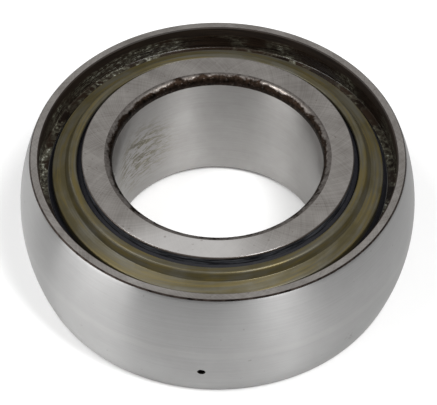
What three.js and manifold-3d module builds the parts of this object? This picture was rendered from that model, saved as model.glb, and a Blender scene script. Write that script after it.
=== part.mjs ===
// A relubricated insert ball bearing with a spherical outside, two rings of equal width,
// nine balls in a riveted ribbon cage, and a three-lip seal under a steel shroud on each side.
// Millimetres, +Z along the bearing's axis, origin at the centre of the bearing.
import * as THREE from 'three';
import { mergeVertices } from 'three/addons/utils/BufferGeometryUtils.js';
import Module from 'manifold-3d';

const wasm = await Module();
wasm.setup();

// Driving dimensions of the bearing
const boreDiameter = 45.24;
const outsideDiameter = 85.74;
const ringWidth = 30.18;
const ballDiameter = 12.7;
const pitchDiameter = 65;
const ballCount = 9;

// Rings
const innerRingOutside = 29.1;
const boreCornerRadius = 1.65;
const ringEdge = 0.3;
const shoulderRadius = 36.4;
const raceRadius = 6.6;
const innerRaceRoom = 0.1;
const outerRaceRoom = 0.2;
const recessRadius = 38.3;
const ledgeHeight = 9.0;
const ledgeRadius = 36.6;
const ledgeThickness = 0.35;
const snapGrooveRadius = 37.2;
const snapGrooveFoot = 7.55;

// Grease hole, drilled radially through the outer ring below its middle
const greaseHoleRadius = 0.8;
const greaseHoleHeight = -6.1;
const greaseHoleAzimuth = -4.2;

// Cage and rivets
const cageInside = 30.3;
const cageOutside = 34.7;
const cageSplit = 0.05;
const cageFlatTop = 0.85;
const pocketInside = 6.6;
const pocketOutside = 7.4;
const rivetShank = 0.8;
const rivetHole = 1.0;
const rivetHead = 1.4;
const rivetHeadHeight = 0.85;
const rivetHeadGap = 0.05;

// Seal parts: case washer, rubber and shroud of the upper side
const caseInside = 30.4;
const caseOutside = 37.05;
const caseFoot = 7.7;
const caseTop = 8.5;
const sealGap = 0.1;
const flangeRadius = 36.45;
const shroudRadius = 35.5;
const shroudThickness = 0.8;
const shroudFoot = 8.95;
const lipRadius = 29.2;
const lipRootRadius = 30.6;
const lipTips = [13.1, 11.5, 9.9];
const lipThickness = 0.35;
const lipLean = 0.8;

// Facets
const ringSides = 48;
const outsideSteps = 8;
const raceSteps = 6;
const cornerSteps = 3;
const cageSides = 36;
const ballSides = 16;
const ballRows = 8;
const pocketSides = 16;
const pocketRows = 10;
const rivetSides = 8;
const holeSides = 12;

const halfWidth = ringWidth / 2;
const ballRadius = ballDiameter / 2;
const pitchRadius = pitchDiameter / 2;
const ballStep = (2 * Math.PI) / ballCount;
const degrees = Math.PI / 180;

const groundSteel = { color: 0x9b9a98, roughness: 0.38, metalness: 1 };
const polishedSteel = { color: 0xc9cbce, roughness: 0.12, metalness: 1 };
const pressedSteel = { color: 0x8b8a86, roughness: 0.45, metalness: 1 };
const yellowPassivated = { color: 0x6a6048, roughness: 0.42, metalness: 0.9 };
const blackRubber = { color: 0x141414, roughness: 0.7, metalness: 0 };

const bearing = new THREE.Group();

function addMesh(name, geometry, finish) {
  const mesh = new THREE.Mesh(geometry, new THREE.MeshStandardMaterial(finish));
  mesh.name = name;
  bearing.add(mesh);
  return mesh;
}

// Turns a closed outline of [radius, height] pairs about Z. The outline runs
// anticlockwise, with radius to the right and height up.
function turned(outline, sides = ringSides) {
  const points = outline.map(([radius, height]) => new THREE.Vector2(radius, height));
  return new THREE.LatheGeometry(points, sides).rotateX(Math.PI / 2);
}

function closedRing(outline, sides = ringSides) {
  return turned([...outline, outline[0]], sides);
}

// Points of an arc in the radius-height plane, from one angle to another in radians
function arc([centreRadius, centreHeight], radius, from, to, steps) {
  return Array.from({ length: steps + 1 }, (_, i) => {
    const angle = from + ((to - from) * i) / steps;
    return [centreRadius + radius * Math.cos(angle), centreHeight + radius * Math.sin(angle)];
  });
}

function mirrored(outline) {
  return outline.map(([radius, height]) => [radius, -height]).reverse();
}

function toSolid(geometry) {
  const bare = geometry.index ? geometry.clone() : geometry;
  bare.deleteAttribute('normal');
  bare.deleteAttribute('uv');
  const merged = mergeVertices(bare, 1e-4);
  return new wasm.Manifold(new wasm.Mesh({
    numProp: 3,
    vertProperties: merged.attributes.position.array,
    triVerts: new Uint32Array(merged.index.array),
  }));
}

function toGeometry(solid) {
  const mesh = solid.getMesh();
  const geometry = new THREE.BufferGeometry();
  geometry.setAttribute('position', new THREE.BufferAttribute(mesh.vertProperties, 3));
  geometry.setIndex(new THREE.BufferAttribute(mesh.triVerts, 1));
  geometry.computeVertexNormals();
  return geometry;
}

function innerRing() {
  const bore = boreDiameter / 2;
  const grooveCentre = pitchRadius - ballRadius - innerRaceRoom + raceRadius;
  const edge = Math.acos((grooveCentre - innerRingOutside) / raceRadius);
  const groove = arc([grooveCentre, 0], raceRadius, Math.PI + edge, Math.PI - edge, raceSteps);
  const cornerCentre = [bore + boreCornerRadius, halfWidth - boreCornerRadius];
  const upper = [
    [innerRingOutside, halfWidth - ringEdge],
    [innerRingOutside - ringEdge, halfWidth],
    ...arc(cornerCentre, boreCornerRadius, Math.PI / 2, Math.PI, cornerSteps),
  ];
  return closedRing([...mirrored(upper), ...groove, ...upper]);
}

function outerRing() {
  const outside = outsideDiameter / 2;
  const outsideEdge = Math.asin((halfWidth - ringEdge) / outside);
  const faceRadius = outside * Math.cos(outsideEdge) - ringEdge;
  const grooveCentre = pitchRadius + ballRadius + outerRaceRoom - raceRadius;
  const edge = Math.acos((shoulderRadius - grooveCentre) / raceRadius);
  const upper = [
    [faceRadius, halfWidth],
    [recessRadius + ringEdge, halfWidth],
    [recessRadius, halfWidth - ringEdge],
    [recessRadius, ledgeHeight],
    [ledgeRadius, ledgeHeight],
    [ledgeRadius, ledgeHeight - ledgeThickness],
    [snapGrooveRadius, ledgeHeight - ledgeThickness],
    [snapGrooveRadius, snapGrooveFoot],
    [shoulderRadius, snapGrooveFoot],
  ];
  const outline = [
    ...arc([0, 0], outside, -outsideEdge, outsideEdge, outsideSteps),
    ...upper,
    ...arc([grooveCentre, 0], raceRadius, edge, -edge, raceSteps),
    ...mirrored(upper),
  ];
  const hole = new THREE.CylinderGeometry(greaseHoleRadius, greaseHoleRadius, outside, holeSides)
    .translate(0, -outside, 0)
    .rotateZ(greaseHoleAzimuth * degrees)
    .translate(0, 0, greaseHoleHeight);
  return toGeometry(toSolid(closedRing(outline)).subtract(toSolid(hole)));
}

// One half of the ribbon cage: a flat band with a domed pocket over each ball
function cageHalf() {
  const band = (foot, top) => toSolid(closedRing([
    [cageOutside, foot],
    [cageOutside, top],
    [cageInside, top],
    [cageInside, foot],
  ], cageSides));
  const ballAt = (radius, index) => toSolid(
    new THREE.SphereGeometry(radius, pocketSides, pocketRows)
      .rotateZ(-Math.PI / 2)
      .translate(pitchRadius, 0, 0)
      .rotateZ(index * ballStep),
  );
  const holeAt = (index) => toSolid(
    new THREE.CylinderGeometry(rivetHole, rivetHole, 4 * cageFlatTop, rivetSides)
      .rotateX(Math.PI / 2)
      .translate(pitchRadius, 0, 0)
      .rotateZ((index + 0.5) * ballStep),
  );
  let domes = band(cageSplit, cageFlatTop);
  for (let i = 0; i < ballCount; i += 1) domes = domes.add(ballAt(pocketOutside, i));
  let half = domes.intersect(band(cageSplit, pocketOutside + 1));
  for (let i = 0; i < ballCount; i += 1) {
    half = half.subtract(ballAt(pocketInside, i)).subtract(holeAt(i));
  }
  return toGeometry(half);
}

function rivet() {
  const headFoot = cageFlatTop + rivetHeadGap;
  const headTop = headFoot + rivetHeadHeight;
  const upper = [
    [rivetShank, headFoot],
    [rivetHead, headFoot],
    [rivetHead, headFoot + rivetHeadHeight / 2],
    [rivetHead * 0.6, headTop],
    [0, headTop],
  ];
  return turned([...mirrored(upper), ...upper], rivetSides);
}

function sealCase() {
  return closedRing([
    [caseOutside, caseFoot],
    [caseOutside, caseTop],
    [caseInside, caseTop],
    [caseInside, caseFoot],
  ]);
}

// Pressed cap: a straight skirt, a shallow cone, a riser and a rolled inner hump
function shroud() {
  return closedRing([
    [shroudRadius, shroudFoot],
    [shroudRadius, 11.0],
    [32.75, 12.0],
    [31.9, 13.4],
    [31.05, 13.7],
    [30.2, 13.5],
    [30.2, 12.75],
    [31.3, 12.7],
    [32.2, 11.35],
    [shroudRadius - shroudThickness, 10.35],
    [shroudRadius - shroudThickness, shroudFoot],
  ]);
}

// Rubber body under the shroud, with a sealing flange at its foot and three lips
// that lean outwards along the inner ring
function lipSeal() {
  const lips = lipTips.flatMap((tip) => [
    [lipRootRadius, tip - lipLean],
    [lipRadius, tip],
    [lipRadius, tip - lipThickness],
    [lipRootRadius, tip - lipLean - lipThickness],
  ]);
  return closedRing([
    [flangeRadius, caseTop + sealGap],
    [flangeRadius, shroudFoot - sealGap],
    [shroudRadius - shroudThickness - sealGap, shroudFoot - sealGap],
    [shroudRadius - shroudThickness - sealGap, 10.27],
    [32.1, 11.25],
    [31.25, 12.55],
    [30.3, 12.6],
    ...lips,
    [lipRootRadius, caseTop + sealGap],
  ]);
}

addMesh('outer_ring', outerRing(), groundSteel);
addMesh('inner_ring', innerRing(), groundSteel);

for (let i = 0; i < ballCount; i += 1) {
  const angle = i * ballStep;
  const sphere = new THREE.SphereGeometry(ballRadius, ballSides, ballRows);
  const ball = addMesh(`ball_${i + 1}`, sphere, polishedSteel);
  ball.rotation.z = angle;
  ball.position.set(pitchRadius * Math.cos(angle), pitchRadius * Math.sin(angle), 0);
}

addMesh('cage_upper', cageHalf(), pressedSteel);
addMesh('cage_lower', cageHalf(), pressedSteel).rotation.x = Math.PI;
for (let i = 0; i < ballCount; i += 1) {
  const angle = (i + 0.5) * ballStep;
  const pin = addMesh(`cage_rivet_${i + 1}`, rivet(), pressedSteel);
  pin.position.set(pitchRadius * Math.cos(angle), pitchRadius * Math.sin(angle), 0);
}

for (const [side, tilt] of [['upper', 0], ['lower', Math.PI]]) {
  addMesh(`${side}_seal_case`, sealCase(), pressedSteel).rotation.x = tilt;
  addMesh(`${side}_lip_seal`, lipSeal(), blackRubber).rotation.x = tilt;
  addMesh(`${side}_shroud`, shroud(), yellowPassivated).rotation.x = tilt;
}

export default bearing;
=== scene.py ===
import math

import bmesh
import bpy
from mathutils import Matrix, Vector


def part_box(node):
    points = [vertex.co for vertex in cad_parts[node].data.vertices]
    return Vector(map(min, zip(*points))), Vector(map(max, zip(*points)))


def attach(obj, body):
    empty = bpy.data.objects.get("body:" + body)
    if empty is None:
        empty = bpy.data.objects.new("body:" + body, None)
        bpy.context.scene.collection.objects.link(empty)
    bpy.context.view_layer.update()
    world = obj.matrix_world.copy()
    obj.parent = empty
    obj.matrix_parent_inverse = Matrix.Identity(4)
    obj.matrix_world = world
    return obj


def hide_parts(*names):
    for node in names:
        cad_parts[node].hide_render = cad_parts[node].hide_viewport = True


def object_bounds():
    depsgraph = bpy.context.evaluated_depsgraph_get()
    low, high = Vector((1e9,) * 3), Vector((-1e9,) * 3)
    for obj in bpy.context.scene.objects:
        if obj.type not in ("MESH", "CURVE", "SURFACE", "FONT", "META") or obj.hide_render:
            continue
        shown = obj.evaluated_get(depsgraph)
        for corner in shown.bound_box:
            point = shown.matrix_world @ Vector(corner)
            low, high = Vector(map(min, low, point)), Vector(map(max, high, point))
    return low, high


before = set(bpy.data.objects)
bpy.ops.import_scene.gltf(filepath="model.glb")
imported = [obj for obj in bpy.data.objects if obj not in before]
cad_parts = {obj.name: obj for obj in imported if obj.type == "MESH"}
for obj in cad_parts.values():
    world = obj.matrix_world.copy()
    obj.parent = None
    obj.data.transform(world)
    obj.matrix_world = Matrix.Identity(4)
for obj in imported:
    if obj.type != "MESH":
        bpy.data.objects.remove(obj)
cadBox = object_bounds()

mm = 0.001


def nodeTop(name):
    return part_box(name)[1]


# Sizes that every piece shares, in millimetres, taken from the frame where it holds them
size = {
    "outside": nodeTop("outer_ring").x / mm,
    "halfWidth": nodeTop("outer_ring").z / mm,
    "innerOutside": nodeTop("inner_ring").x / mm,
    "shroudRadius": nodeTop("upper_shroud").x / mm,
    "caseRadius": nodeTop("upper_seal_case").x / mm,
    "flangeRadius": nodeTop("upper_lip_seal").x / mm,
    "ballRadius": (nodeTop("ball_1").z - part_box("ball_1")[0].z) / 2 / mm,
    "ballCount": sum(name.startswith("ball_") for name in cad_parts),
}
size["pitchRadius"] = nodeTop("ball_1").x / mm - size["ballRadius"]
ballStep = 2 * math.pi / size["ballCount"]


view = {
    "place": (0, -0.32966, 0.37465),
    "back": (0, -0.66059, 0.75075),
    "roll": 0.431,  # degrees
    "lens": 188.36,
    "shift": (0.00216, -0.00498),
}


def addCamera():
    camera = bpy.data.objects.new("camera", bpy.data.cameras.new("camera"))
    bpy.context.scene.collection.objects.link(camera)
    camera.data.lens = view["lens"]
    camera.data.sensor_width = 36
    camera.data.shift_x, camera.data.shift_y = view["shift"]
    camera.data.clip_start = 0.01
    back = Vector(view["back"]).normalized()
    right = Vector((1, 0, 0))
    up = back.cross(right)
    turn = Matrix.Rotation(math.radians(view["roll"]), 3, back)
    axes = Matrix((turn @ right, turn @ up, back)).transposed()
    camera.matrix_world = Matrix.Translation(view["place"]) @ axes.to_4x4()
    bpy.context.scene.camera = camera


studio = {
    "world": (0.23, 0.23, 0.233),
    "floor": (0.80, 0.80, 0.797),
    "floorGlow": 0.22,  # a lit table, which keeps the shadows pale
    "floorHalf": 3.0,  # metres
    "floorDrop": 0.02,  # millimetres under the bearing
    # name: azimuth, elevation, distance, width, height, watts
    "lights": {
        "rightBox": (315, 61, 0.8, 0.19, 0.34, 5.6),
        "leftBox": (192, 57, 0.8, 0.11, 0.44, 3.2),
        "lowLeftBox": (206, 12, 0.8, 0.60, 0.28, 2.4),
        "backLeftBox": (153, 12, 0.8, 0.40, 0.28, 0.8),
    },
}


def addLight(name, azimuth, elevation, distance, width, height, watts):
    lamp = bpy.data.lights.new(name, "AREA")
    lamp.shape = "RECTANGLE"
    lamp.size, lamp.size_y = width, height
    lamp.energy = watts
    lightObject = bpy.data.objects.new(name, lamp)
    bpy.context.scene.collection.objects.link(lightObject)
    a, e = math.radians(azimuth), math.radians(elevation)
    aim = Vector((math.cos(a) * math.cos(e), math.sin(a) * math.cos(e), math.sin(e)))
    lightObject.location = aim * distance
    lightObject.rotation_euler = aim.to_track_quat("Z", "Y").to_euler()


def addStudio():
    world = bpy.data.worlds.new("studio")
    bpy.context.scene.world = world
    world.use_nodes = True
    world.node_tree.nodes["Background"].inputs["Color"].default_value = (*studio["world"], 1)
    for name, values in studio["lights"].items():
        addLight(name, *values)
    bpy.context.scene.view_settings.view_transform = "Standard"

    mesh = bpy.data.meshes.new("floor")
    half, level = studio["floorHalf"], cadBox[0][2] - studio["floorDrop"] * mm
    corners = [(-half, -half, level), (half, -half, level), (half, half, level), (-half, half, level)]
    mesh.from_pydata(corners, [], [(0, 1, 2, 3)])
    floor = bpy.data.objects.new("floor", mesh)
    bpy.context.scene.collection.objects.link(floor)
    paint, _, shader = newMaterial("floorPaper")
    shader.inputs["Base Color"].default_value = (*studio["floor"], 1)
    shader.inputs["Roughness"].default_value = 0.9
    shader.inputs["Emission Color"].default_value = (*studio["floor"], 1)
    shader.inputs["Emission Strength"].default_value = studio["floorGlow"]
    mesh.materials.append(paint)


def newMaterial(name):
    material = bpy.data.materials.new(name)
    material.use_nodes = True
    tree = material.node_tree
    return material, tree, tree.nodes["Principled BSDF"]


def objectPlace(tree):
    return tree.nodes.new("ShaderNodeTexCoord").outputs["Object"]


def stretched(tree, place, scale):
    mapping = tree.nodes.new("ShaderNodeMapping")
    mapping.inputs["Scale"].default_value = scale
    tree.links.new(place, mapping.inputs["Vector"])
    return mapping.outputs["Vector"]


def noise(tree, place, scale, detail=3.0, roughness=0.5, distortion=0.0):
    texture = tree.nodes.new("ShaderNodeTexNoise")
    texture.inputs["Scale"].default_value = scale
    texture.inputs["Detail"].default_value = detail
    texture.inputs["Roughness"].default_value = roughness
    texture.inputs["Distortion"].default_value = distortion
    tree.links.new(place, texture.inputs["Vector"])
    return texture.outputs["Fac"]


def ramp(tree, factor, stops):
    node = tree.nodes.new("ShaderNodeValToRGB")
    elements = node.color_ramp.elements
    while len(elements) < len(stops):
        elements.new(0.5)
    for element, (position, colour) in zip(elements, stops):
        element.position = position
        element.color = (*colour, 1)
    tree.links.new(factor, node.inputs["Fac"])
    return node.outputs["Color"]


def remap(tree, value, fromLow, fromHigh, toLow, toHigh, smooth=False):
    node = tree.nodes.new("ShaderNodeMapRange")
    node.interpolation_type = "SMOOTHSTEP" if smooth else "LINEAR"
    limits = {"From Min": fromLow, "From Max": fromHigh, "To Min": toLow, "To Max": toHigh}
    for name, number in limits.items():
        node.inputs[name].default_value = number
    tree.links.new(value, node.inputs["Value"])
    return node.outputs["Result"]


def calc(tree, operation, *values):
    node = tree.nodes.new("ShaderNodeMath")
    node.operation = operation
    for socket, value in zip(node.inputs, values):
        if isinstance(value, (int, float)):
            socket.default_value = value
        else:
            tree.links.new(value, socket)
    return node.outputs["Value"]


def mixColour(tree, factor, first, second):
    node = tree.nodes.new("ShaderNodeMix")
    node.data_type = "RGBA"
    sockets = [s for s in node.inputs if s.type == "RGBA"]
    for socket, value in [(node.inputs["Factor"], factor), (sockets[0], first), (sockets[1], second)]:
        if isinstance(value, (int, float)):
            socket.default_value = value
        elif isinstance(value, tuple):
            socket.default_value = (*value, 1)
        else:
            tree.links.new(value, socket)
    return next(s for s in node.outputs if s.type == "RGBA")


def addBump(tree, shader, height, distance):
    bump = tree.nodes.new("ShaderNodeBump")
    bump.inputs["Distance"].default_value = distance
    tree.links.new(height, bump.inputs["Height"])
    tree.links.new(bump.outputs["Normal"], shader.inputs["Normal"])


def aroundAxis(tree, shader, amount):
    tangent = tree.nodes.new("ShaderNodeTangent")
    tangent.direction_type = "RADIAL"
    tangent.axis = "Z"
    tree.links.new(tangent.outputs["Tangent"], shader.inputs["Tangent"])
    shader.inputs["Anisotropic"].default_value = amount
    shader.inputs["Anisotropic Rotation"].default_value = 0.25  # stretched across the grinding lines


def splitPlace(tree, place):
    node = tree.nodes.new("ShaderNodeSeparateXYZ")
    tree.links.new(place, node.inputs["Vector"])
    return node.outputs["X"], node.outputs["Y"], node.outputs["Z"]


# A place that changes slowly round the axis and quickly with radius and height
def ringPlace(tree, place, along, across):
    length = tree.nodes.new("ShaderNodeVectorMath")
    length.operation = "LENGTH"
    tree.links.new(stretched(tree, place, (1, 1, 0)), length.inputs[0])
    radius = tree.nodes.new("ShaderNodeCombineXYZ")
    tree.links.new(calc(tree, "MULTIPLY", length.outputs["Value"], across), radius.inputs["X"])
    total = tree.nodes.new("ShaderNodeVectorMath")
    total.operation = "ADD"
    tree.links.new(stretched(tree, place, (along, along, across)), total.inputs[0])
    tree.links.new(radius.outputs["Vector"], total.inputs[1])
    return total.outputs["Vector"]


# A noise that looks the same all along each slanted line across a flat ring face.
# Turning every point by an angle that grows with its radius slants the lines.
def slantedLines(tree, place, slant, width):
    turn = tree.nodes.new("ShaderNodeVectorRotate")
    turn.rotation_type = "Z_AXIS"
    flat = stretched(tree, place, (1, 1, 0))
    length = tree.nodes.new("ShaderNodeVectorMath")
    length.operation = "LENGTH"
    tree.links.new(flat, length.inputs[0])
    tree.links.new(calc(tree, "MULTIPLY", length.outputs["Value"], slant / mm), turn.inputs["Angle"])
    direction = tree.nodes.new("ShaderNodeVectorMath")
    direction.operation = "NORMALIZE"
    tree.links.new(flat, turn.inputs["Vector"])
    tree.links.new(turn.outputs["Vector"], direction.inputs[0])
    return noise(tree, direction.outputs["Vector"], 1 / width, 3, 0.6)


# A soft ball of influence round a point, 1 at its middle and 0 at its edge
def patch(tree, place, centre, radii):
    mapping = tree.nodes.new("ShaderNodeMapping")
    mapping.vector_type = "TEXTURE"
    mapping.inputs["Location"].default_value = [c * mm for c in centre]
    mapping.inputs["Scale"].default_value = [r * mm for r in radii]
    tree.links.new(place, mapping.inputs["Vector"])
    length = tree.nodes.new("ShaderNodeVectorMath")
    length.operation = "LENGTH"
    tree.links.new(mapping.outputs["Vector"], length.inputs[0])
    return remap(tree, length.outputs["Value"], 0.2, 1, 1, 0, smooth=True)


groundOutsideFinish = {
    "dark": (0.272, 0.269, 0.266),
    "light": (0.346, 0.344, 0.342),
    "roughness": (0.34, 0.38),
    "anisotropy": 0.97,
    "bandHeight": (-0.5, 1.6),  # a faint worn band, in millimetres
    "bandFade": 0.8,
    "band": (0.42, 0.41, 0.40),
    "rub": (0.12, 0.11, 0.10),
    "rubPlace": (28.0, -31.0, -7.5),
    "rubReach": (2.2, 2.2, 3.4),
    "speck": (0.13, 0.12, 0.11),
}


def makeGroundOutside():
    finish = groundOutsideFinish
    material, tree, shader = newMaterial("groundOutside")
    place = objectPlace(tree)
    height = splitPlace(tree, place)[2]
    lines = noise(tree, stretched(tree, place, (60, 60, 5200)), 1.0, 4, 0.6)
    clouds = noise(tree, place, 70, 5, 0.6)
    shade = calc(tree, "ADD", calc(tree, "MULTIPLY", lines, 0.4),
                 calc(tree, "MULTIPLY", clouds, 0.6))
    low, high = [h * mm for h in finish["bandHeight"]]
    fade = finish["bandFade"] * mm
    wander = calc(tree, "MULTIPLY_ADD", noise(tree, place, 160, 3), 1.6 * mm, height)
    band = calc(tree, "MULTIPLY",
                remap(tree, wander, low, low + fade, 0, 1, smooth=True),
                remap(tree, wander, high, high + fade, 1, 0, smooth=True))
    colour = ramp(tree, shade, [(0.32, finish["dark"]), (0.68, finish["light"])])
    colour = mixColour(tree, calc(tree, "MULTIPLY", band, 0.14), colour, finish["band"])
    rub = calc(tree, "MULTIPLY",
               patch(tree, place, finish["rubPlace"], finish["rubReach"]),
               remap(tree, noise(tree, place, 900, 4, 0.7), 0.5, 0.62, 0, 1))
    colour = mixColour(tree, calc(tree, "MULTIPLY", rub, 0.7), colour, finish["rub"])
    specks = remap(tree, noise(tree, place, 640, 2, 0.4), 0.745, 0.77, 0, 0.35)
    colour = mixColour(tree, specks, colour, finish["speck"])
    tree.links.new(colour, shader.inputs["Base Color"])
    tree.links.new(remap(tree, shade, 0.3, 0.7, *finish["roughness"]), shader.inputs["Roughness"])
    shader.inputs["Metallic"].default_value = 1.0
    aroundAxis(tree, shader, finish["anisotropy"])
    addBump(tree, shader, lines, 0.0006 * mm)
    return material


groundFaceFinish = {
    "dark": (0.285, 0.263, 0.243),
    "light": (0.430, 0.405, 0.380),
    "highlightColour": (0.53, 0.52, 0.51),
    "highlightPlace": (-5, -27, 15),  # millimetres
    "highlightReach": (24, 14, 8),
    "speck": (0.16, 0.13, 0.11),
    "metallic": (0.78, 0.45),  # on the oxidised face and on its painted highlight patch
    "roughness": (0.30, 0.40),
    "slants": (0.035, -0.028),  # radians of lean for each millimetre outwards
    "lineWidth": 0.011,  # of the radius
}


def makeGroundFace():
    finish = groundFaceFinish
    material, tree, shader = newMaterial("groundFace")
    place = objectPlace(tree)
    width = finish["lineWidth"]
    first, second = [slantedLines(tree, place, slant, width) for slant in finish["slants"]]
    hatch = calc(tree, "MULTIPLY", calc(tree, "ADD", first, second), 0.5)
    clouds = noise(tree, place, 140, 5, 0.65)
    shade = calc(tree, "ADD", calc(tree, "MULTIPLY", hatch, 0.6),
                 calc(tree, "MULTIPLY", clouds, 0.4))
    colour = ramp(tree, shade, [(0.41, finish["dark"]), (0.59, finish["light"])])
    # A paler, less metallic patch on the near side of the face: a painted highlight
    highlightPatch = patch(tree, place, finish["highlightPlace"], finish["highlightReach"])
    highlightStrength = calc(tree, "MULTIPLY", highlightPatch, 0.75)
    colour = mixColour(tree, highlightStrength, colour, finish["highlightColour"])
    specks = remap(tree, noise(tree, place, 1300, 2, 0.4), 0.70, 0.74, 0, 0.45)
    colour = mixColour(tree, specks, colour, finish["speck"])
    tree.links.new(colour, shader.inputs["Base Color"])
    tree.links.new(remap(tree, shade, 0.35, 0.65, *finish["roughness"]), shader.inputs["Roughness"])
    tree.links.new(remap(tree, highlightPatch, 0, 1, *finish["metallic"]), shader.inputs["Metallic"])
    addBump(tree, shader, hatch, 0.0022 * mm)
    return material


groundBoreFinish = {
    "dark": (0.315, 0.305, 0.295),
    "light": (0.405, 0.396, 0.387),
    "roughness": (0.33, 0.38),
    "anisotropy": 0.95,
    "smearPlace": (-17.6, 14.2, -1.5),  # where old grease has dried on the wall, with painted glints along its streaks
    "smearReach": (13, 13, 12),
    "smearLean": 38,  # degrees
    "smearStretch": (300, 300, 1500),
    "grease": (0.200, 0.180, 0.105),
    "paintedGlint": (0.55, 0.53, 0.46),
}


def makeGroundBore():
    finish = groundBoreFinish
    material, tree, shader = newMaterial("groundBore")
    place = objectPlace(tree)
    lines = noise(tree, stretched(tree, place, (80, 80, 4200)), 1.0, 4, 0.6)
    clouds = noise(tree, place, 130, 5, 0.65)
    shade = calc(tree, "ADD", calc(tree, "MULTIPLY", lines, 0.4),
                 calc(tree, "MULTIPLY", clouds, 0.6))
    colour = ramp(tree, shade, [(0.32, finish["dark"]), (0.68, finish["light"])])
    area = patch(tree, place, finish["smearPlace"], finish["smearReach"])
    leaning = tree.nodes.new("ShaderNodeMapping")
    leaning.inputs["Rotation"].default_value = (0, math.radians(finish["smearLean"]), 0)
    leaning.inputs["Scale"].default_value = finish["smearStretch"]
    tree.links.new(place, leaning.inputs["Vector"])
    streaks = noise(tree, leaning.outputs["Vector"], 1.0, 4, 0.7)
    thick = remap(tree, streaks, 0.47, 0.56, 0, 1, smooth=True)
    smear = calc(tree, "MULTIPLY", area, thick)
    stain = calc(tree, "MULTIPLY", smear, 0.75)
    colour = mixColour(tree, stain, colour, finish["grease"])
    # Painted highlights: a pale colour painted on the brightest grease streaks as glints
    paintedGlints = calc(tree, "MULTIPLY", area, remap(tree, streaks, 0.60, 0.66, 0, 1))
    colour = mixColour(tree, calc(tree, "MULTIPLY", paintedGlints, 0.8), colour, finish["paintedGlint"])
    tree.links.new(colour, shader.inputs["Base Color"])
    sheen = remap(tree, shade, 0.3, 0.7, *finish["roughness"])
    tree.links.new(calc(tree, "MULTIPLY_ADD", smear, 0.12, sheen), shader.inputs["Roughness"])
    shader.inputs["Metallic"].default_value = 1.0
    aroundAxis(tree, shader, finish["anisotropy"])
    addBump(tree, shader, lines, 0.0006 * mm)
    return material


cornerScaleFinish = {
    "scale": ((0.004, 0.003, 0.002), (0.042, 0.027, 0.019)),
    "steel": ((0.15, 0.13, 0.116), (0.33, 0.305, 0.285)),
    "start": 0.02,  # millimetres below the face
    "fade": 0.5,
    "ends": (0.95, 2.32),  # of the lower and the upper corner
    "raggedStart": 2.4,
    "raggedEnd": 0.25,
}


# Heat scale left in the bore's rounded corner: worn thin beside the face, and cut off
# cleanly where the bore is ground
def makeCornerScale():
    finish = cornerScaleFinish
    material, tree, shader = newMaterial("cornerScale")
    place = objectPlace(tree)
    height = splitPlace(tree, place)[2]
    away = calc(tree, "ABSOLUTE", height)
    depth = calc(tree, "SUBTRACT", size["halfWidth"] * mm, away)
    wander = calc(tree, "SUBTRACT", noise(tree, place, 280, 5, 0.66), 0.5)
    upper = calc(tree, "MULTIPLY_ADD", wander, finish["raggedStart"] * mm, depth)
    lower = calc(tree, "MULTIPLY_ADD", wander, finish["raggedEnd"] * mm, depth)
    end = remap(tree, height, -mm, mm, *[e * mm for e in finish["ends"]])
    start, fade = finish["start"] * mm, finish["fade"] * mm
    cover = calc(tree, "MULTIPLY",
                 remap(tree, upper, start, start + fade, 0, 1, smooth=True),
                 calc(tree, "LESS_THAN", lower, end))
    fine = noise(tree, place, 1500, 4, 0.7)
    flecks = remap(tree, fine, 0.60, 0.68, 0, 0.4, smooth=True)
    cover = calc(tree, "SUBTRACT", cover, calc(tree, "MULTIPLY", cover, flecks))
    mottle = noise(tree, place, 1100, 5, 0.7)
    scale = ramp(tree, mottle, [(0.35, finish["scale"][0]), (0.7, finish["scale"][1])])
    steel = ramp(tree, mottle, [(0.35, finish["steel"][0]), (0.7, finish["steel"][1])])
    tree.links.new(mixColour(tree, cover, steel, scale), shader.inputs["Base Color"])
    tree.links.new(remap(tree, cover, 0, 1, 0.34, 0.58), shader.inputs["Roughness"])
    tree.links.new(remap(tree, cover, 0, 1, 0.9, 1), shader.inputs["Metallic"])
    addBump(tree, shader, mottle, 0.004 * mm)
    return material


heatScaleFinish = {
    "dark": (0.012, 0.009, 0.008),
    "light": (0.070, 0.055, 0.047),
    "roughness": (0.4, 0.6),
}


# The thin dark edge between the ground outside and the face
def makeHeatScale():
    finish = heatScaleFinish
    material, tree, shader = newMaterial("heatScale")
    place = objectPlace(tree)
    mottle = noise(tree, place, 900, 5, 0.65)
    colour = ramp(tree, mottle, [(0.35, finish["dark"]), (0.7, finish["light"])])
    tree.links.new(colour, shader.inputs["Base Color"])
    tree.links.new(remap(tree, mottle, 0.3, 0.7, *finish["roughness"]), shader.inputs["Roughness"])
    shader.inputs["Metallic"].default_value = 1.0
    return material


oilyRecessFinish = {
    "dark": (0.006, 0.004, 0.003),
    "brown": (0.022, 0.014, 0.009),
    "filmAndSheen": (0.185, 0.182, 0.135),
    "paintedGlint": (0.38, 0.385, 0.34),
    "filmTop": 13.0,
    "thickPlace": (-23, 30, 11),  # where most of the grease film and its painted sheen lie, in millimetres
    "thickReach": (24, 18, 9),
    "ridgeSharpness": 13,
    "relief": 0.06,
}
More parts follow.
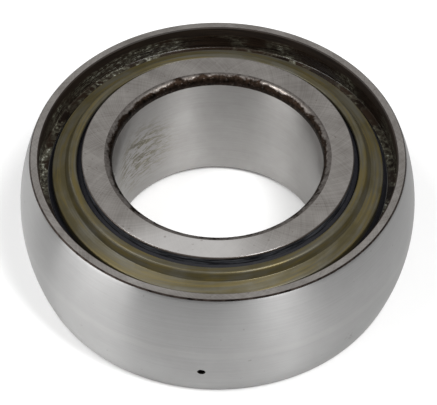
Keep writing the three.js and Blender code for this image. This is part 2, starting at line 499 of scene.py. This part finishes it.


# Black scale on the recess wall, under a wrinkled film of dark grease. The film's pale ridges are partly
# grease and partly painted sheen, and its brightest ridges carry painted glints.
def makeOilyRecess():
    finish = oilyRecessFinish
    material, tree, shader = newMaterial("oilyRecess")
    place = objectPlace(tree)
    height = calc(tree, "ABSOLUTE", splitPlace(tree, place)[2])
    wrinkles = noise(tree, stretched(tree, place, (150, 150, 3000)), 1.0, 5, 0.66, 0.2)
    valley = calc(tree, "ABSOLUTE", calc(tree, "SUBTRACT", wrinkles, 0.5))
    valley = calc(tree, "MULTIPLY", valley, finish["ridgeSharpness"])
    ridge = calc(tree, "SUBTRACT", 1, valley)
    wander = calc(tree, "MULTIPLY_ADD", noise(tree, place, 130, 4), 2.2 * mm, height)
    top = (finish["filmTop"] + 1.1) * mm
    zone = remap(tree, wander, top - 0.7 * mm, top, 1, 0, smooth=True)
    spread = remap(tree, noise(tree, place, 75, 3), 0.42, 0.60, 0, 1, smooth=True)
    thickest = patch(tree, place, finish["thickPlace"], finish["thickReach"])
    spread = calc(tree, "MAXIMUM", spread, thickest)
    filmAndSheen = calc(tree, "MULTIPLY", calc(tree, "MULTIPLY", zone, spread),
                remap(tree, ridge, 0.1, 1, 0, 0.85))
    broken = remap(tree, noise(tree, place, 1100, 3, 0.6), 0.40, 0.60, 0.15, 1)
    filmAndSheen = calc(tree, "MULTIPLY", filmAndSheen, broken)
    base = ramp(tree, wrinkles, [(0.35, finish["dark"]), (0.65, finish["brown"])])
    # The film's pale colour is partly grease and partly painted sheen
    colour = mixColour(tree, filmAndSheen, base, finish["filmAndSheen"])
    # Painted highlights: glints painted on the film's brightest ridges
    paintedGlints = remap(tree, filmAndSheen, 0.55, 0.78, 0, 0.85, smooth=True)
    tree.links.new(mixColour(tree, paintedGlints, colour, finish["paintedGlint"]), shader.inputs["Base Color"])
    tree.links.new(remap(tree, zone, 0, 1, 0.55, 0.24), shader.inputs["Roughness"])
    shader.inputs["Specular IOR Level"].default_value = 0.3
    addBump(tree, shader, calc(tree, "MULTIPLY", wrinkles, zone), finish["relief"] * mm)
    return material


paintedShadeEdgeFinish = {
    "steel": (0.30, 0.295, 0.29),
    "rim": (0.075, 0.062, 0.054),
    "foot": 9.5,  # the height in millimetres where the painted shade starts
    "dark": (0.018, 0.019, 0.022),
    "light": (0.21, 0.22, 0.245),
    "roughness": (0.28, 0.42),
}


# The inner ring's outside, painted dark beside the seal lips: painted shade and a painted reflection of
# the dark gap, with pale streaks along it that are partly scuffs and partly painted glints
def makePaintedShadeEdge():
    finish = paintedShadeEdgeFinish
    material, tree, shader = newMaterial("paintedShadeEdge")
    place = objectPlace(tree)
    scuffsAndGlints = noise(tree, stretched(tree, place, (220, 220, 4200)), 1.0, 4, 0.65)
    height = calc(tree, "ABSOLUTE", splitPlace(tree, place)[2])
    foot = finish["foot"] * mm
    bare = remap(tree, height, foot, foot + mm, 1, 0, smooth=True)
    # dark is the painted shade; light is the pale streaks, partly scuffs and partly painted glints
    colour = ramp(tree, scuffsAndGlints, [(0.45, finish["dark"]), (0.64, finish["light"])])
    edge = size["halfWidth"] * mm
    rim = remap(tree, height, edge - 0.5 * mm, edge - 0.28 * mm, 0, 1, smooth=True)
    colour = mixColour(tree, rim, colour, finish["rim"])
    tree.links.new(mixColour(tree, bare, colour, finish["steel"]), shader.inputs["Base Color"])
    tree.links.new(remap(tree, scuffsAndGlints, 0.3, 0.7, *finish["roughness"]), shader.inputs["Roughness"])
    tree.links.new(remap(tree, bare, 0, 1, 0.6, 1), shader.inputs["Metallic"])
    return material


yellowPassivatedFinish = {
    "olive": (0.080, 0.067, 0.030),
    "grey": (0.108, 0.101, 0.078),
    "mustard": (0.118, 0.091, 0.028),
    "ringShade": (0.04, 0.036, 0.026),
    "roughness": (0.30, 0.44),
}


def makeYellowPassivated():
    finish = yellowPassivatedFinish
    material, tree, shader = newMaterial("yellowPassivated")
    place = objectPlace(tree)
    clouds = noise(tree, place, 120, 5, 0.62, 0.5)
    broad = noise(tree, ringPlace(tree, place, 70, 620), 1.0, 4, 0.6)
    tint = noise(tree, ringPlace(tree, place, 90, 900), 1.0, 4, 0.62)
    rings = noise(tree, ringPlace(tree, place, 35, 3200), 1.0, 3, 0.6)
    shade = calc(tree, "MULTIPLY", calc(tree, "ADD", clouds, broad), 0.5)
    base = ramp(tree, shade, [(0.42, finish["olive"]), (0.58, finish["grey"])])
    yellow = remap(tree, tint, 0.48, 0.62, 0, 0.8, smooth=True)
    colour = mixColour(tree, yellow, base, finish["mustard"])
    shaded = remap(tree, rings, 0.35, 0.65, 0, 0.45)
    colour = mixColour(tree, shaded, colour, finish["ringShade"])
    tree.links.new(colour, shader.inputs["Base Color"])
    tree.links.new(remap(tree, shade, 0.35, 0.65, *finish["roughness"]), shader.inputs["Roughness"])
    shader.inputs["Metallic"].default_value = 0.36
    shader.inputs["Specular IOR Level"].default_value = 0.25
    addBump(tree, shader, rings, 0.003 * mm)
    return material


sealRubberFinish = {
    "dark": (0.006, 0.006, 0.008),
    "light": (0.014, 0.014, 0.018),
    "dust": (0.05, 0.048, 0.045),
    "roughness": (0.6, 0.75),
}


def makeSealRubber():
    finish = sealRubberFinish
    material, tree, shader = newMaterial("sealRubber")
    place = objectPlace(tree)
    grain = noise(tree, place, 2500, 3, 0.6)
    dust = remap(tree, noise(tree, place, 320, 5, 0.7), 0.58, 0.74, 0, 0.2)
    colour = ramp(tree, grain, [(0.3, finish["dark"]), (0.7, finish["light"])])
    tree.links.new(mixColour(tree, dust, colour, finish["dust"]), shader.inputs["Base Color"])
    tree.links.new(remap(tree, grain, 0.3, 0.7, *finish["roughness"]), shader.inputs["Roughness"])
    shader.inputs["Specular IOR Level"].default_value = 0.2
    addBump(tree, shader, grain, 0.004 * mm)
    return material


pressedSteelFinish = {
    "dark": (0.34, 0.33, 0.31),
    "light": (0.44, 0.43, 0.41),
    "oil": (0.22, 0.19, 0.14),
    "roughness": (0.34, 0.46),
}


def makePressedSteel():
    finish = pressedSteelFinish
    material, tree, shader = newMaterial("pressedSteel")
    place = objectPlace(tree)
    grain = noise(tree, place, 700, 4, 0.6)
    oil = noise(tree, place, 120, 4, 0.6)
    colour = ramp(tree, grain, [(0.3, finish["dark"]), (0.7, finish["light"])])
    oiled = remap(tree, oil, 0.5, 0.65, 0, 0.4)
    tree.links.new(mixColour(tree, oiled, colour, finish["oil"]), shader.inputs["Base Color"])
    tree.links.new(remap(tree, grain, 0.3, 0.7, *finish["roughness"]), shader.inputs["Roughness"])
    shader.inputs["Metallic"].default_value = 1.0
    addBump(tree, shader, grain, 0.003 * mm)
    return material


lappedBallFinish = {
    "dark": (0.60, 0.61, 0.62),
    "light": (0.66, 0.665, 0.67),
    "roughness": (0.06, 0.12),
}


def makeLappedBall():
    finish = lappedBallFinish
    material, tree, shader = newMaterial("lappedBall")
    place = objectPlace(tree)
    haze = noise(tree, place, 400, 3, 0.5)
    colour = ramp(tree, haze, [(0.3, finish["dark"]), (0.7, finish["light"])])
    tree.links.new(colour, shader.inputs["Base Color"])
    tree.links.new(remap(tree, haze, 0.3, 0.7, *finish["roughness"]), shader.inputs["Roughness"])
    shader.inputs["Metallic"].default_value = 1.0
    return material


# Rounds the corners of a closed outline of (radius, height, fillet) in millimetres.
# A short straight hold on each side of a fillet keeps the faces beside it flat.
def rounded(corners, arcSteps=5, hold=0.05):
    points = []
    for i, (radius, height, fillet) in enumerate(corners):
        here = Vector((radius, height))
        if not fillet:
            points.append(here)
            continue
        before = (Vector(corners[i - 1][:2]) - here).normalized()
        after = (Vector(corners[(i + 1) % len(corners)][:2]) - here).normalized()
        half = before.angle(after) / 2
        reach = fillet / math.tan(half)
        centre = here + (before + after).normalized() * fillet / math.sin(half)
        start, end = here + before * reach - centre, here + after * reach - centre
        turn = math.atan2(start.x * end.y - start.y * end.x, start.dot(end))
        points.append(here + before * (reach + hold))
        for step in range(arcSteps + 1):
            angle = turn * step / arcSteps
            points.append(centre + Matrix.Rotation(angle, 2) @ start)
        points.append(here + after * (reach + hold))
    return points


def arcPoints(centre, radius, start, end, steps):
    angles = [start + (end - start) * i / steps for i in range(steps + 1)]
    return [(centre[0] + radius * math.cos(a), centre[1] + radius * math.sin(a), 0) for a in angles]


def mirrored(corners):
    return [(radius, -height, fillet) for radius, height, fillet in reversed(corners)]


def newTree(name, inputs):
    tree = bpy.data.node_groups.new(name, "GeometryNodeTree")
    tree.interface.new_socket("Geometry", in_out="INPUT", socket_type="NodeSocketGeometry")
    for label, kind in inputs:
        tree.interface.new_socket(label, in_out="INPUT", socket_type=kind)
    tree.interface.new_socket("Geometry", in_out="OUTPUT", socket_type="NodeSocketGeometry")
    return tree, tree.nodes.new("NodeGroupInput"), tree.nodes.new("NodeGroupOutput")


def endTree(tree, start, end, geometry):
    smooth = tree.nodes.new("GeometryNodeSetShadeSmooth")
    realize = tree.nodes.new("GeometryNodeRealizeInstances")
    paint = tree.nodes.new("GeometryNodeSetMaterial")
    tree.links.new(geometry, smooth.inputs["Geometry"])
    tree.links.new(smooth.outputs["Geometry"], realize.inputs["Geometry"])
    tree.links.new(realize.outputs["Geometry"], paint.inputs["Geometry"])
    tree.links.new(start.outputs["Finish"], paint.inputs["Material"])
    tree.links.new(paint.outputs["Geometry"], end.inputs["Geometry"])


# Sweeps the object's closed outline once round the Z axis
def makeRingTree():
    tree, start, end = newTree("turnedRing", [
        ("Sweep Radius", "NodeSocketFloat"),
        ("Steps Around", "NodeSocketInt"),
        ("Finish", "NodeSocketMaterial"),
    ])
    outline = tree.nodes.new("GeometryNodeMeshToCurve")
    circle = tree.nodes.new("GeometryNodeCurvePrimitiveCircle")
    sweep = tree.nodes.new("GeometryNodeCurveToMesh")
    tree.links.new(start.outputs["Geometry"], outline.inputs["Mesh"])
    tree.links.new(start.outputs["Sweep Radius"], circle.inputs["Radius"])
    tree.links.new(start.outputs["Steps Around"], circle.inputs["Resolution"])
    tree.links.new(circle.outputs["Curve"], sweep.inputs["Curve"])
    tree.links.new(outline.outputs["Curve"], sweep.inputs["Profile Curve"])
    endTree(tree, start, end, sweep.outputs["Mesh"])
    return tree


# One ball, set on the pitch circle at an azimuth
def makeBallTree():
    tree, start, end = newTree("raceBall", [
        ("Ball Radius", "NodeSocketFloat"),
        ("Pitch Radius", "NodeSocketFloat"),
        ("Azimuth", "NodeSocketFloat"),
        ("Subdivisions", "NodeSocketInt"),
        ("Finish", "NodeSocketMaterial"),
    ])
    ball = tree.nodes.new("GeometryNodeMeshIcoSphere")
    tree.links.new(start.outputs["Ball Radius"], ball.inputs["Radius"])
    tree.links.new(start.outputs["Subdivisions"], ball.inputs["Subdivisions"])
    parts = {}
    for name, operation in (("x", "COSINE"), ("y", "SINE")):
        wave = tree.nodes.new("ShaderNodeMath")
        wave.operation = operation
        tree.links.new(start.outputs["Azimuth"], wave.inputs[0])
        reach = tree.nodes.new("ShaderNodeMath")
        reach.operation = "MULTIPLY"
        tree.links.new(wave.outputs[0], reach.inputs[0])
        tree.links.new(start.outputs["Pitch Radius"], reach.inputs[1])
        parts[name] = reach.outputs[0]
    place = tree.nodes.new("ShaderNodeCombineXYZ")
    tree.links.new(parts["x"], place.inputs["X"])
    tree.links.new(parts["y"], place.inputs["Y"])
    move = tree.nodes.new("GeometryNodeTransform")
    tree.links.new(ball.outputs["Mesh"], move.inputs["Geometry"])
    tree.links.new(place.outputs["Vector"], move.inputs["Translation"])
    endTree(tree, start, end, move.outputs["Geometry"])
    return tree


# Copies the object's one fastener round a circle
def makeCircleTree():
    tree, start, end = newTree("fastenerCircle", [
        ("Count", "NodeSocketInt"),
        ("Pitch Radius", "NodeSocketFloat"),
        ("First Azimuth", "NodeSocketFloat"),
        ("Finish", "NodeSocketMaterial"),
    ])
    circle = tree.nodes.new("GeometryNodeMeshCircle")
    copies = tree.nodes.new("GeometryNodeInstanceOnPoints")
    angle = tree.nodes.new("ShaderNodeCombineXYZ")
    turn = tree.nodes.new("GeometryNodeTransform")
    tree.links.new(start.outputs["Count"], circle.inputs["Vertices"])
    tree.links.new(start.outputs["Pitch Radius"], circle.inputs["Radius"])
    tree.links.new(circle.outputs["Mesh"], copies.inputs["Points"])
    tree.links.new(start.outputs["Geometry"], copies.inputs["Instance"])
    tree.links.new(copies.outputs["Instances"], turn.inputs["Geometry"])
    tree.links.new(start.outputs["First Azimuth"], angle.inputs["Z"])
    tree.links.new(angle.outputs["Vector"], turn.inputs["Rotation"])
    endTree(tree, start, end, turn.outputs["Geometry"])
    return tree


# Runs a tree on a mesh and gives the result as a plain object with no modifier
def grow(name, mesh, tree, values):
    piece = bpy.data.objects.new(name, mesh)
    bpy.context.scene.collection.objects.link(piece)
    modifier = piece.modifiers.new(tree.name, "NODES")
    modifier.node_group = tree
    for item in tree.interface.items_tree:
        if item.in_out == "INPUT" and item.name in values:
            modifier[item.identifier] = values[item.name]
    return settle(piece)


def settle(piece):
    graph = bpy.context.evaluated_depsgraph_get()
    mesh = bpy.data.meshes.new_from_object(piece.evaluated_get(graph))
    piece.modifiers.clear()
    piece.data = mesh
    mesh.name = piece.name
    return piece


def turnedRing(name, corners, finish, ring):
    outline = rounded(corners, ring["filletSteps"])
    sweepRadius = size["pitchRadius"]
    places = [((r - sweepRadius) * mm, -z * mm, 0) for r, z in reversed(outline)]
    loop = [(i, (i + 1) % len(places)) for i in range(len(places))]
    mesh = bpy.data.meshes.new(name)
    mesh.from_pydata(places, loop, [])
    piece = grow(name, mesh, ringTree, {
        "Sweep Radius": sweepRadius * mm,
        "Steps Around": ring["stepsAround"],
        "Finish": finish,
    })
    sharpen(piece)
    return piece


def sharpen(piece, degrees=32):
    piece.data.shade_smooth()
    piece.data.set_sharp_from_angle(angle=math.radians(degrees))


# Gives the faces that a test picks, by radius and height in millimetres, another finish
def refinish(piece, finish, picks):
    piece.data.materials.append(finish)
    slot = len(piece.data.materials) - 1
    for face in piece.data.polygons:
        place = face.center / mm
        if picks(math.hypot(place.x, place.y), place.z):
            face.material_index = slot


def cut(piece, cutter):
    modifier = piece.modifiers.new("cut", "BOOLEAN")
    modifier.operation = "DIFFERENCE"
    modifier.solver = "EXACT"
    modifier.object = cutter
    settle(piece)
    bpy.data.objects.remove(cutter)


def install(piece, body, slot, *nodes):
    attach(piece, body)
    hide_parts(*nodes)


outerRing = {
    "stepsAround": 288,
    "filletSteps": 5,
    "outsideSteps": 36,
    "cornerChamfer": 0.32,
    "recessRadius": 38.3,
    "recessEdge": 0.25,
    "ledgeHeight": 9.0,
    "ledgeRadius": 36.6,
    "ledgeThickness": 0.35,
    "grooveRadius": 37.2,
    "grooveFoot": 7.55,
    "shoulderRadius": 36.4,
    "raceRadius": 6.6,
    "raceRoom": 0.05,
    "raceSteps": 20,
    "holeRadius": 0.8,
    "holeHeight": -6.1,
    "holeAzimuth": -94.2,  # degrees from +X
    "drillDepth": 12,
    "drillOvershoot": 2,
    "drillSteps": 32,
    "countersinkHeight": 0.12,
    "countersinkSpread": 1.22,
    "wallLean": 0.8,  # a hole wall's normal points less than this along the hole
    "wallReach": 1.3,  # in hole radii
    "filmLift": 0.3,
}
edgeSlack = 0.01  # keeps a face's middle clear of the height that a finish ends at


def makeOuterRing():
    ring = outerRing
    width, outside = size["halfWidth"], size["outside"]
    edge = math.asin((width - ring["cornerChamfer"]) / outside)
    faceRadius = outside * math.cos(edge) - ring["cornerChamfer"]
    raceCentre = size["pitchRadius"] + size["ballRadius"] + ring["raceRoom"] - ring["raceRadius"]
    raceEdge = math.acos((ring["shoulderRadius"] - raceCentre) / ring["raceRadius"])
    upper = [
        (faceRadius, width, 0),
        (ring["recessRadius"] + ring["recessEdge"], width, 0),
        (ring["recessRadius"], width - ring["recessEdge"], 0),
        (ring["recessRadius"], ring["ledgeHeight"], 0.3),
        (ring["ledgeRadius"], ring["ledgeHeight"], 0.1),
        (ring["ledgeRadius"], ring["ledgeHeight"] - ring["ledgeThickness"], 0),
        (ring["grooveRadius"], ring["ledgeHeight"] - ring["ledgeThickness"], 0),
        (ring["grooveRadius"], ring["grooveFoot"], 0),
        (ring["shoulderRadius"], ring["grooveFoot"], 0.15),
    ]
    corners = arcPoints((0, 0), outside, -edge, edge, ring["outsideSteps"]) + upper
    corners += arcPoints((raceCentre, 0), ring["raceRadius"], raceEdge, -raceEdge, ring["raceSteps"])
    piece = turnedRing("outerRing", corners + mirrored(upper), groundOutside, ring)
    cut(piece, greaseHoleCutter())
    sharpen(piece)
    faceFoot = width - edgeSlack
    chamferFoot = width - ring["cornerChamfer"] + edgeSlack
    recessMouth = ring["recessRadius"] + ring["recessEdge"]
    filmFoot = ring["grooveFoot"] + ring["filmLift"]
    refinish(piece, groundFace, lambda r, z: r > ring["recessRadius"] and abs(z) > faceFoot)
    refinish(piece, heatScale, lambda r, z: r > faceRadius and faceFoot > abs(z) > chamferFoot)
    refinish(piece, oilyRecess, lambda r, z: r < recessMouth and abs(z) > filmFoot)
    paintGreaseHole(piece)
    install(piece, "outer", "ground_steel", "outer_ring")


# The hole's wall is what stands across the ring's outside, close to the hole's axis
def paintGreaseHole(piece):
    ring = outerRing
    wall = piece.data.materials.find("heatScale")
    around = Matrix.Rotation(math.radians(-ring["holeAzimuth"]), 3, "Z")
    for face in piece.data.polygons:
        place = around @ face.center / mm
        steep = abs((around @ face.normal).x) < ring["wallLean"]
        near = math.hypot(place.y, place.z - ring["holeHeight"]) < ring["wallReach"] * ring["holeRadius"]
        if steep and near and place.x > 0:
            face.material_index = wall


# A drill with a small countersink at its mouth, pointing at the bearing's axis
def greaseHoleCutter():
    ring = outerRing
    height = ring["holeHeight"]
    mouth = math.sqrt(size["outside"] ** 2 - height ** 2)
    sink, spread = ring["countersinkHeight"], ring["countersinkSpread"]
    stations = [(mouth - ring["drillDepth"], 1.0), (mouth - sink, 1.0),
                (mouth + sink, spread), (mouth + ring["drillOvershoot"], spread)]
    steps = ring["drillSteps"]
    drill = bmesh.new()
    rows = []
    for reach, widening in stations:
        radius = ring["holeRadius"] * widening
        row = []
        for i in range(steps):
            angle = 2 * math.pi * i / steps
            side, rise = radius * math.cos(angle), height + radius * math.sin(angle)
            row.append(drill.verts.new((reach * mm, side * mm, rise * mm)))
        rows.append(row)
    for low, high in zip(rows, rows[1:]):
        for i in range(steps):
            j = (i + 1) % steps
            drill.faces.new((low[i], low[j], high[j], high[i]))
    drill.faces.new(rows[0][::-1])
    drill.faces.new(rows[-1])
    bmesh.ops.recalc_face_normals(drill, faces=drill.faces)
    turn = Matrix.Rotation(math.radians(ring["holeAzimuth"]), 3, "Z")
    bmesh.ops.rotate(drill, verts=drill.verts, matrix=turn)
    mesh = bpy.data.meshes.new("drill")
    drill.to_mesh(mesh)
    drill.free()
    cutter = bpy.data.objects.new("drill", mesh)
    bpy.context.scene.collection.objects.link(cutter)
    return cutter


innerRing = {
    "stepsAround": 288,
    "filletSteps": 8,
    "boreRadius": 22.62,
    "boreCorner": 1.65,
    "outsideCorner": 0.3,
    "raceRadius": 6.6,
    "raceRoom": 0.05,
    "raceSteps": 20,
    "upperScale": 2.4,  # how far down from each face the corner's heat scale may reach
    "lowerScale": 1.0,
}


def makeInnerRing():
    ring = innerRing
    width, outside, bore = size["halfWidth"], size["innerOutside"], ring["boreRadius"]
    raceCentre = size["pitchRadius"] - size["ballRadius"] - ring["raceRoom"] + ring["raceRadius"]
    raceEdge = math.acos((raceCentre - outside) / ring["raceRadius"])
    upper = [
        (outside, width, ring["outsideCorner"]),
        (bore, width, ring["boreCorner"]),
        (bore, width - ring["upperScale"], 0),
    ]
    first, last = math.pi + raceEdge, math.pi - raceEdge
    race = arcPoints((raceCentre, 0), ring["raceRadius"], first, last, ring["raceSteps"])
    piece = turnedRing("innerRing", mirrored(upper) + race + upper, groundOutside, ring)
    cornerEdge = bore + ring["boreCorner"]
    refinish(piece, groundFace, lambda r, z: r > cornerEdge and abs(z) > width - edgeSlack)
    refinish(piece, groundBore, lambda r, z: r < cornerEdge)
    upperEnd, lowerEnd = width - ring["upperScale"], ring["lowerScale"] - width
    refinish(piece, cornerScale, lambda r, z: r < cornerEdge and not lowerEnd < z < upperEnd)
    # The outside above the seal lips takes the painted shade finish
    refinish(piece, paintedShadeEdge, lambda r, z: r > outside - 0.2 and abs(z) < width - 2 * edgeSlack)
    install(piece, "inner", "ground_steel", "inner_ring")


sealCase = {
    "stepsAround": 216,
    "filletSteps": 3,
    "inside": 30.4,
    "foot": 7.7,
    "top": 8.5,
    "edge": 0.15,
}

shroud = {
    "stepsAround": 288,
    "filletSteps": 5,
    "thickness": 0.8,
    "foot": 8.95,
    "shoulderHeight": 11.0,
    "coneRadius": 32.75,
    "coneHeight": 12.0,
    "humpRadius": 31.9,
    "humpHeight": 13.7,
    "mouthRadius": 30.2,
    "underHump": (31.3, 12.8),
    "underCone": (32.2, 11.35),
    "underShoulder": 10.35,
}

lipSeal = {
    "stepsAround": 288,
    "filletSteps": 4,
    "lipRadius": 29.14,
    "rootRadius": 30.6,
    "tips": (13.1, 11.5, 9.9),
    "lipThickness": 0.35,
    "lipLean": 0.8,
    "gap": 0.1,
    "shoulderHeight": 10.27,
    "underShroud": ((32.1, 11.25), (31.25, 12.55), (30.3, 12.6)),
}


def flipped(corners, side):
    return corners if side == "upper" else mirrored(corners)


def makeSealCase(side):
    plate = sealCase
    corners = [
        (size["caseRadius"], plate["foot"], plate["edge"]),
        (size["caseRadius"], plate["top"], plate["edge"]),
        (plate["inside"], plate["top"], plate["edge"]),
        (plate["inside"], plate["foot"], plate["edge"]),
    ]
    piece = turnedRing(side + "SealCase", flipped(corners, side), pressedSteel, plate)
    install(piece, "outer", "pressed_steel", side + "_seal_case")


def makeShroud(side):
    cap = shroud
    outside, thin = size["shroudRadius"], cap["thickness"]
    corners = [
        (outside, cap["foot"], 0.12),
        (outside, cap["shoulderHeight"], 0.35),
        (cap["coneRadius"], cap["coneHeight"], 0.3),
        (cap["humpRadius"] - 0.1, cap["humpHeight"], 0.75),
        (cap["mouthRadius"] + 0.1, cap["humpHeight"] - 0.02, 0.3),
        (cap["mouthRadius"], cap["humpHeight"] - 0.85, 0.1),
        (*cap["underHump"], 0.1),
        (*cap["underCone"], 0.2),
        (outside - thin, cap["underShoulder"], 0.1),
        (outside - thin, cap["foot"], 0.12),
    ]
    piece = turnedRing(side + "Shroud", flipped(corners, side), yellowPassivated, cap)
    install(piece, "outer", "yellow_passivated_steel", side + "_shroud")


def makeLipSeal(side):
    rubber = lipSeal
    gap = rubber["gap"]
    body = size["shroudRadius"] - shroud["thickness"] - gap
    root = rubber["rootRadius"]
    corners = [
        (size["flangeRadius"], sealCase["top"] + gap, 0.05),
        (size["flangeRadius"], shroud["foot"] - gap, 0.05),
        (body, shroud["foot"] - gap, 0),
        (body, rubber["shoulderHeight"], 0),
    ]
    corners += [(radius, height, 0) for radius, height in rubber["underShroud"]]
    for tip in rubber["tips"]:
        corners += [
            (root, tip - rubber["lipLean"], 0.1 if tip < rubber["tips"][0] else 0),
            (rubber["lipRadius"], tip, 0.06),
            (rubber["lipRadius"], tip - rubber["lipThickness"], 0.06),
            (root, tip - rubber["lipLean"] - rubber["lipThickness"], 0.1),
        ]
    corners.append((root, sealCase["top"] + gap, 0))
    piece = turnedRing(side + "LipSeal", flipped(corners, side), sealRubber, rubber)
    install(piece, "outer", "seal_rubber", side + "_lip_seal")


balls = {"subdivisions": 5}


def makeBalls():
    for i in range(size["ballCount"]):
        mesh = bpy.data.meshes.new("ballSeed")
        piece = grow(f"ball{i + 1}", mesh, ballTree, {
            "Ball Radius": size["ballRadius"] * mm,
            "Pitch Radius": size["pitchRadius"] * mm,
            "Azimuth": i * ballStep,
            "Subdivisions": balls["subdivisions"],
            "Finish": lappedBall,
        })
        piece.data.shade_smooth()
        install(piece, f"ball_{i + 1}_body", "polished_steel", f"ball_{i + 1}")


cage = {
    "inside": 30.3,
    "outside": 34.7,
    "split": 0.05,
    "flatTop": 0.85,
    "pocketInside": 6.6,
    "pocketOutside": 7.4,
    "bend": 0.7,
    "underBend": 0.8,  # more than the bend, so that the sheet keeps its thickness
    "rows": 6,
    "edgeRound": 0.12,
    "domeSteps": 20,
    "bendSteps": 6,
    "rivetHole": 0.85,
    "drillReach": 4.0,
}


# Half a pocket's line along the band, from the top of the dome to the middle of the flat:
# a dome arc, a bend, and the flat
def pocketLine(domeRadius, flatHeight, bend, span):
    reach = domeRadius + bend
    bendCentre = math.sqrt(reach ** 2 - (flatHeight + bend) ** 2)
    leave = math.atan2(flatHeight + bend, bendCentre)
    line = []
    for i in range(cage["domeSteps"] // 2):
        angle = math.pi / 2 + (leave - math.pi / 2) * i / (cage["domeSteps"] // 2)
        line.append((domeRadius * math.cos(angle), domeRadius * math.sin(angle)))
    for i in range(cage["bendSteps"] + 1):
        angle = (math.pi + leave) + (math.pi / 2 - leave) * i / cage["bendSteps"]
        line.append((bendCentre + bend * math.cos(angle), flatHeight + bend + bend * math.sin(angle)))
    line.append(((line[-1][0] + span) / 2, flatHeight))
    return line


# The pressed sheet as a grid: rows across the band, closed over both skins
def makeCageHalf(side):
    ribbon = cage
    sign = 1 if side == "upper" else -1
    pitch = size["pitchRadius"]
    skins = {
        "under": (ribbon["pocketInside"], ribbon["split"], ribbon["bend"] + ribbon["underBend"]),
        "over": (ribbon["pocketOutside"], ribbon["flatTop"], ribbon["bend"]),
    }
    edge = ribbon["edgeRound"]
    inset = [edge] + [0.0] * (ribbon["rows"] + 1) + [edge]
    span = ribbon["outside"] - ribbon["inside"]
    radii = [ribbon["inside"], ribbon["inside"] + edge]
    radii += [ribbon["inside"] + span * i / ribbon["rows"] for i in range(1, ribbon["rows"])]
    radii += [ribbon["outside"] - edge, ribbon["outside"]]
    sheet = bmesh.new()
    grids = {}
    for skin, (domeRadius, flat, bend) in skins.items():
        push = 1 if skin == "under" else -1
        grid = []
        for radius, shave in zip(radii, inset):
            lineRadius = math.sqrt(radius * pitch)
            ballRing = math.sqrt((domeRadius + push * shave) ** 2 - (radius - pitch) ** 2)
            half = pocketLine(ballRing, flat + push * shave, bend, lineRadius * ballStep / 2)
            line = half + [(lineRadius * ballStep - s, z) for s, z in half[:0:-1]]
            row = []
            for i in range(size["ballCount"]):
                for s, z in line:
                    angle = i * ballStep + s / lineRadius
                    x, y = radius * math.cos(angle), radius * math.sin(angle)
                    row.append(sheet.verts.new((x * mm, y * mm, sign * z * mm)))
            grid.append(row)
        grids[skin] = grid
    around = len(grids["over"][0])
    for grid in grids.values():
        for low, high in zip(grid, grid[1:]):
            for i in range(around):
                j = (i + 1) % around
                sheet.faces.new((low[i], high[i], high[j], low[j]))
    for row in (0, -1):
        for i in range(around):
            j = (i + 1) % around
            under, over = grids["under"][row], grids["over"][row]
            sheet.faces.new((under[i], over[i], over[j], under[j]))
    bmesh.ops.recalc_face_normals(sheet, faces=sheet.faces)
    mesh = bpy.data.meshes.new(side + "CageHalf")
    sheet.to_mesh(mesh)
    sheet.free()
    mesh.materials.append(pressedSteel)
    piece = bpy.data.objects.new(side + "CageHalf", mesh)
    bpy.context.scene.collection.objects.link(piece)
    hole = pin([(ribbon["rivetHole"], ribbon["drillReach"])])
    cut(piece, grow("rivetHoles", hole, circleTree, circleValues()))
    sharpen(piece)
    install(piece, "cage", "pressed_steel", "cage_" + side)


rivet = {
    "shank": 0.8,
    "head": 1.4,
    "headHeight": 0.8,
    "headGap": 0.05,
    "brim": 0.1,
    "domeSteps": 7,
    "domeStep": 12,  # degrees
    "steps": 24,
}


# A round pin along Z, from the (radius, height) points of its upper half
def pin(upper):
    profile = [(radius, -height) for radius, height in reversed(upper)] + upper
    steps = rivet["steps"]
    body = bmesh.new()
    rows = []
    for radius, height in profile:
        row = []
        for i in range(steps):
            angle = 2 * math.pi * i / steps
            x, y = radius * math.cos(angle), radius * math.sin(angle)
            row.append(body.verts.new((x * mm, y * mm, height * mm)))
        rows.append(row)
    for low, high in zip(rows, rows[1:]):
        for i in range(steps):
            j = (i + 1) % steps
            body.faces.new((low[i], low[j], high[j], high[i]))
    body.faces.new(rows[0][::-1])
    body.faces.new(rows[-1])
    mesh = bpy.data.meshes.new("pin")
    body.to_mesh(mesh)
    body.free()
    return mesh


def circleValues():
    return {
        "Count": size["ballCount"],
        "Pitch Radius": size["pitchRadius"] * mm,
        "First Azimuth": ballStep / 2,
        "Finish": pressedSteel,
    }


def makeRivets():
    foot = cage["flatTop"] + rivet["headGap"]
    brim = rivet["brim"]
    head = [(rivet["shank"], foot), (rivet["head"], foot)]
    for i in range(rivet["domeSteps"]):
        angle = math.radians(rivet["domeStep"] * (i + 1))
        dome = (rivet["headHeight"] - brim) * math.sin(angle)
        head.append((rivet["head"] * math.cos(angle), foot + brim + dome))
    piece = grow("cageRivets", pin(head), circleTree, circleValues())
    sharpen(piece)
    nodes = [f"cage_rivet_{i + 1}" for i in range(size["ballCount"])]
    install(piece, "cage", "pressed_steel", *nodes)


groundOutside = makeGroundOutside()
groundFace = makeGroundFace()
groundBore = makeGroundBore()
heatScale = makeHeatScale()
cornerScale = makeCornerScale()
oilyRecess = makeOilyRecess()
paintedShadeEdge = makePaintedShadeEdge()
yellowPassivated = makeYellowPassivated()
sealRubber = makeSealRubber()
pressedSteel = makePressedSteel()
lappedBall = makeLappedBall()
print("finishes made")

ringTree = makeRingTree()
ballTree = makeBallTree()
circleTree = makeCircleTree()

makeOuterRing()
makeInnerRing()
print("rings made")
for side in ("upper", "lower"):
    makeSealCase(side)
    makeLipSeal(side)
    makeShroud(side)
    makeCageHalf(side)
print("seals and cage halves made")
makeBalls()
makeRivets()
print("balls and rivets made")

addStudio()
addCamera()
print("studio and camera set")
